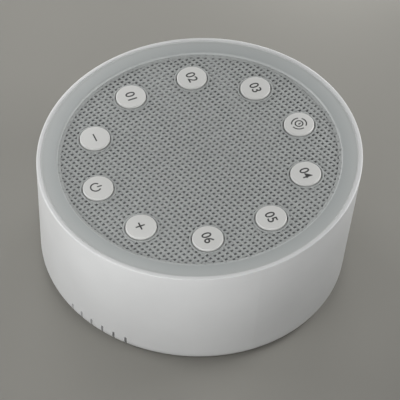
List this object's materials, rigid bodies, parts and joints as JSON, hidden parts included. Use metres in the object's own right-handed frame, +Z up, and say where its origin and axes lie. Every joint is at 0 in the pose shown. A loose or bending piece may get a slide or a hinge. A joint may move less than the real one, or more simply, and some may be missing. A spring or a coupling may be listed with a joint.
{
  "type": "white noise sound machine",
  "caption": "Round white sound machine with a sloping cloth grille, a ring of round push-keys, vent slots at the base and a rear power inlet.",
  "frame": {"origin": "on the table, at the middle of the drum's base", "axes": "+Z up; -Y is the front, to which the top face slopes down; +Y is the back, where the power inlet is"},
  "size_m": [0.126, 0.1259, 0.0572],
  "materials": {
    "housing_white": "satin moulded plastic",
    "bezel_grey": "satin moulded plastic",
    "cloth_grey": "open woven speaker cloth",
    "plate_dark": "matt moulded plastic",
    "key_white": "satin moulded plastic",
    "base_white": "fine-grained moulded plastic",
    "foot_rubber": "matt rubber",
    "board_green": "satin solder mask",
    "board_brown": "phenolic board",
    "switch_black": "matt plastic",
    "contact_metal": "plated spring metal",
    "screw_steel": "zinc-plated steel",
    "foam_black": "closed-cell foam",
    "surround_rubber": "soft rubber",
    "frame_steel": "black-painted pressed steel",
    "cone_paper": "pressed paper",
    "coil_copper": "enamelled copper wire",
    "spider_cloth": "treated cotton cloth",
    "pole_steel": "zinc-plated steel",
    "magnet_ferrite": "sintered ferrite",
    "wire_red": "PVC sleeve",
    "ribbon_grey": "flat flexible cable",
    "can_blue": "shrunk sleeve",
    "header_ivory": "nylon"
  },
  "bodies": {
    "housing": {"outer_shell": "housing_white", "bezel_ring": "bezel_grey", "grille_cloth": "cloth_grey", "grille_plate": "plate_dark", "key_board": "board_green", "key_switches": "switch_black", "switch_domes": "contact_metal", "key_board_screws": "screw_steel", "grille_screws": "screw_steel", "speaker_gasket": "foam_black", "speaker_surround": "surround_rubber", "speaker_frame": "frame_steel", "speaker_cone": "cone_paper", "dust_cap": "cone_paper", "voice_coil": "coil_copper", "speaker_spider": "spider_cloth", "magnet_top_plate": "pole_steel", "ring_magnet": "magnet_ferrite", "magnet_yoke": "pole_steel", "terminal_strip": "board_brown", "speaker_screws": "screw_steel", "speaker_wires": "wire_red", "key_ribbon": "ribbon_grey", "main_board": "board_green", "board_screws": "screw_steel", "board_chips": "switch_black", "capacitors": "can_blue", "power_coil": "magnet_ferrite", "board_headers": "header_ivory", "dc_jack": "switch_black", "base_cover": "base_white", "rubber_feet": "foot_rubber", "base_screws": "screw_steel"},
    "power_key": {"power_key": "key_white"},
    "plus_key": {"plus_key": "key_white"},
    "minus_key": {"minus_key": "key_white"},
    "timer_key": {"timer_key": "key_white"},
    "sound_key_1": {"sound_key_1": "key_white"},
    "sound_key_2": {"sound_key_2": "key_white"},
    "sound_key_3": {"sound_key_3": "key_white"},
    "sound_key_4": {"sound_key_4": "key_white"},
    "sound_key_5": {"sound_key_5": "key_white"},
    "sound_key_6": {"sound_key_6": "key_white"}
  },
  "joints": [
    {"name": "power_press", "type": "slide", "parent": "housing", "child": "power_key", "axis": [0, -0.0785, 0.9969], "range_m": [-0.0008, 0], "stiffness_N_per_m": 1000},
    {"name": "plus_press", "type": "slide", "parent": "housing", "child": "plus_key", "axis": [0, -0.0785, 0.9969], "range_m": [-0.0008, 0], "stiffness_N_per_m": 1000},
    {"name": "minus_press", "type": "slide", "parent": "housing", "child": "minus_key", "axis": [0, -0.0785, 0.9969], "range_m": [-0.0008, 0], "stiffness_N_per_m": 1000},
    {"name": "timer_press", "type": "slide", "parent": "housing", "child": "timer_key", "axis": [0, -0.0785, 0.9969], "range_m": [-0.0008, 0], "stiffness_N_per_m": 1000},
    {"name": "sound_press_1", "type": "slide", "parent": "housing", "child": "sound_key_1", "axis": [0, -0.0785, 0.9969], "range_m": [-0.0008, 0], "stiffness_N_per_m": 1000},
    {"name": "sound_press_2", "type": "slide", "parent": "housing", "child": "sound_key_2", "axis": [0, -0.0785, 0.9969], "range_m": [-0.0008, 0], "stiffness_N_per_m": 1000},
    {"name": "sound_press_3", "type": "slide", "parent": "housing", "child": "sound_key_3", "axis": [0, -0.0785, 0.9969], "range_m": [-0.0008, 0], "stiffness_N_per_m": 1000},
    {"name": "sound_press_4", "type": "slide", "parent": "housing", "child": "sound_key_4", "axis": [0, -0.0785, 0.9969], "range_m": [-0.0008, 0], "stiffness_N_per_m": 1000},
    {"name": "sound_press_5", "type": "slide", "parent": "housing", "child": "sound_key_5", "axis": [0, -0.0785, 0.9969], "range_m": [-0.0008, 0], "stiffness_N_per_m": 1000},
    {"name": "sound_press_6", "type": "slide", "parent": "housing", "child": "sound_key_6", "axis": [0, -0.0785, 0.9969], "range_m": [-0.0008, 0], "stiffness_N_per_m": 1000}
  ]
}
